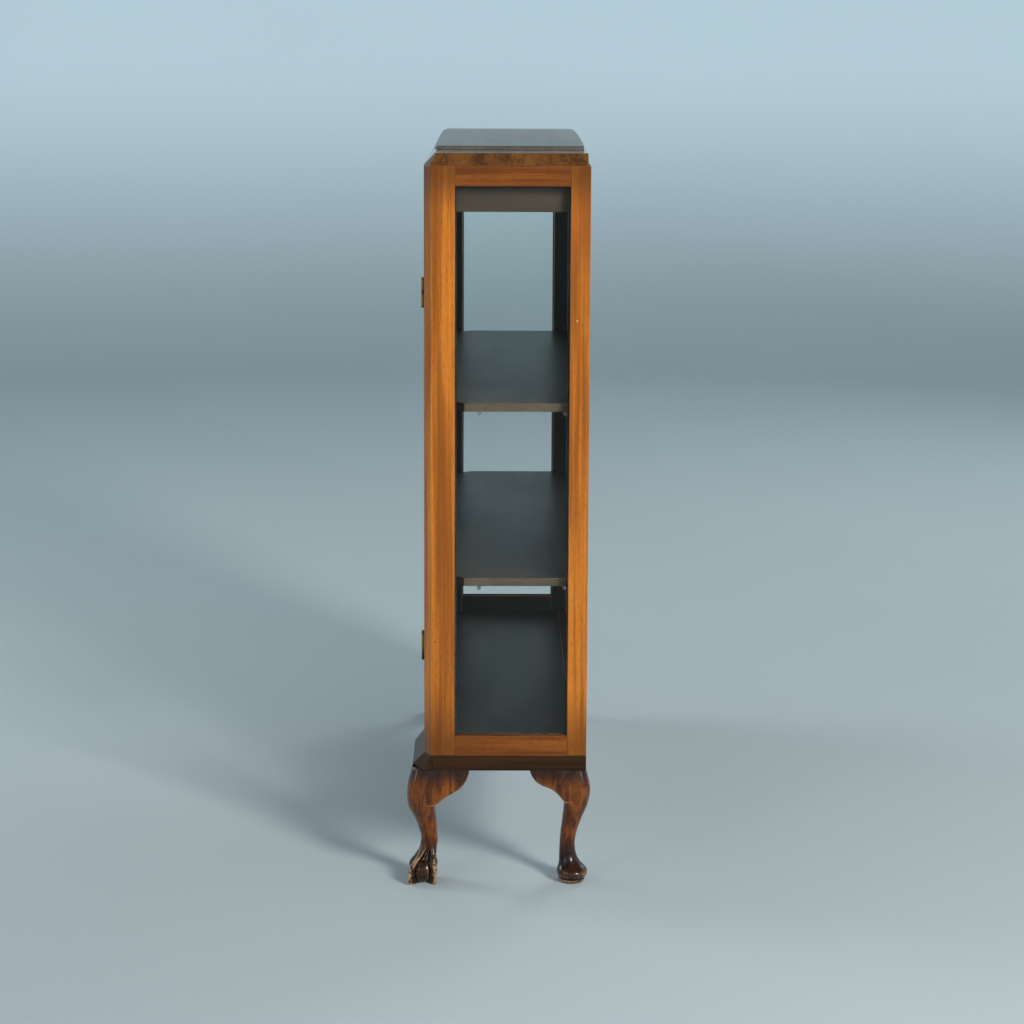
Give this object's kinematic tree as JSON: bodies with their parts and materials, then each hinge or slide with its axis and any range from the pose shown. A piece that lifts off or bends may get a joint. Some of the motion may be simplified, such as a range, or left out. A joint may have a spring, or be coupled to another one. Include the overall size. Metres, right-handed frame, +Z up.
{
  "type": "china cabinet with glass doors",
  "caption": "Tall display cabinet with glazed ends, hinged glazed doors and fixed shelves, raised on cabriole legs.",
  "frame": {"origin": "centre of the footprint, on the floor", "axes": "+Z up, +X to the right as seen from the doors' side, -Y out through the doors, so the back is at +Y"},
  "size_m": [0.9818, 0.3064, 1.2367],
  "materials": {
    "frame_wood": "worn satin varnish on golden-brown straight-grained hardwood",
    "dark_wood": "dark brown stained and polished, rubbed at the edges",
    "leg_wood": "glossy red-brown varnish, worn pale on the feet",
    "panel_wood": "dull dark stained plywood",
    "clear_glass": "clear float glass",
    "aged_brass": "dull aged brass",
    "lock_steel": "dull lock steel"
  },
  "bodies": {
    "cabinet": {"front_post_right": "frame_wood", "back_post_right": "frame_wood", "side_top_rail_right": "frame_wood", "side_bottom_rail_right": "frame_wood", "side_glass_right": "clear_glass", "side_frieze_right": "dark_wood", "plinth_block_right": "dark_wood", "plinth_side_right": "dark_wood", "front_leg_right": "leg_wood", "back_leg_right": "leg_wood", "front_leg_side_ear_right": "leg_wood", "front_leg_front_ear_right": "leg_wood", "back_leg_side_ear_right": "leg_wood", "hinge_post_leaf_lower_right": "aged_brass", "hinge_post_leaf_upper_right": "aged_brass", "front_post_left": "frame_wood", "back_post_left": "frame_wood", "side_top_rail_left": "frame_wood", "side_bottom_rail_left": "frame_wood", "side_glass_left": "clear_glass", "side_frieze_left": "dark_wood", "plinth_block_left": "dark_wood", "plinth_side_left": "dark_wood", "front_leg_left": "leg_wood", "back_leg_left": "leg_wood", "front_leg_side_ear_left": "leg_wood", "front_leg_front_ear_left": "leg_wood", "back_leg_side_ear_left": "leg_wood", "hinge_post_leaf_lower_left": "aged_brass", "hinge_post_leaf_upper_left": "aged_brass", "front_top_rail": "frame_wood", "bottom_board": "dark_wood", "top_board": "dark_wood", "raised_top": "dark_wood", "plinth_front": "dark_wood", "plinth_back": "dark_wood", "lower_shelf": "dark_wood", "upper_shelf": "dark_wood", "back_panel": "panel_wood"},
    "door_right": {"door_hinge_stile_right": "frame_wood", "door_meeting_stile_right": "frame_wood", "door_top_rail_right": "frame_wood", "door_bottom_rail_right": "frame_wood", "door_glass_right": "clear_glass", "hinge_door_leaf_lower_right": "aged_brass", "hinge_door_leaf_upper_right": "aged_brass", "lock_case": "lock_steel", "escutcheon": "aged_brass"},
    "door_left": {"door_hinge_stile_left": "frame_wood", "door_meeting_stile_left": "frame_wood", "door_top_rail_left": "frame_wood", "door_bottom_rail_left": "frame_wood", "door_glass_left": "clear_glass", "hinge_door_leaf_lower_left": "aged_brass", "hinge_door_leaf_upper_left": "aged_brass", "lock_keeper": "aged_brass", "slide_bolt_guide": "aged_brass"},
    "key": {"key": "lock_steel"},
    "lock_bolt": {"lock_bolt": "aged_brass"},
    "slide_bolt": {"slide_bolt": "aged_brass"}
  },
  "joints": [
    {"name": "door_right_hinge", "type": "hinge", "parent": "cabinet", "child": "door_right", "pos_m": [0.439, -0.1273, 0.226], "axis": [0, 0, 1], "range_deg": [0, 110]},
    {"name": "door_left_hinge", "type": "hinge", "parent": "cabinet", "child": "door_left", "pos_m": [-0.439, -0.1273, 0.226], "axis": [0, 0, -1], "range_deg": [0, 110]},
    {"name": "key_turn", "type": "hinge", "parent": "door_right", "child": "key", "pos_m": [0.02, -0.1261, 0.682], "axis": [0, 1, 0], "range_deg": [0, 180]},
    {"name": "lock_bolt_slide", "type": "slide", "parent": "door_right", "child": "lock_bolt", "axis": [-1, 0, 0], "range_m": [0, 0.012]},
    {"name": "slide_bolt_slide", "type": "slide", "parent": "door_left", "child": "slide_bolt", "axis": [0, 0, 1], "range_m": [0, 0.012]}
  ],
  "couplings": [
    {"joint": "lock_bolt_slide", "follows": "key_turn", "m_per_rad": 0.003819}
  ]
}
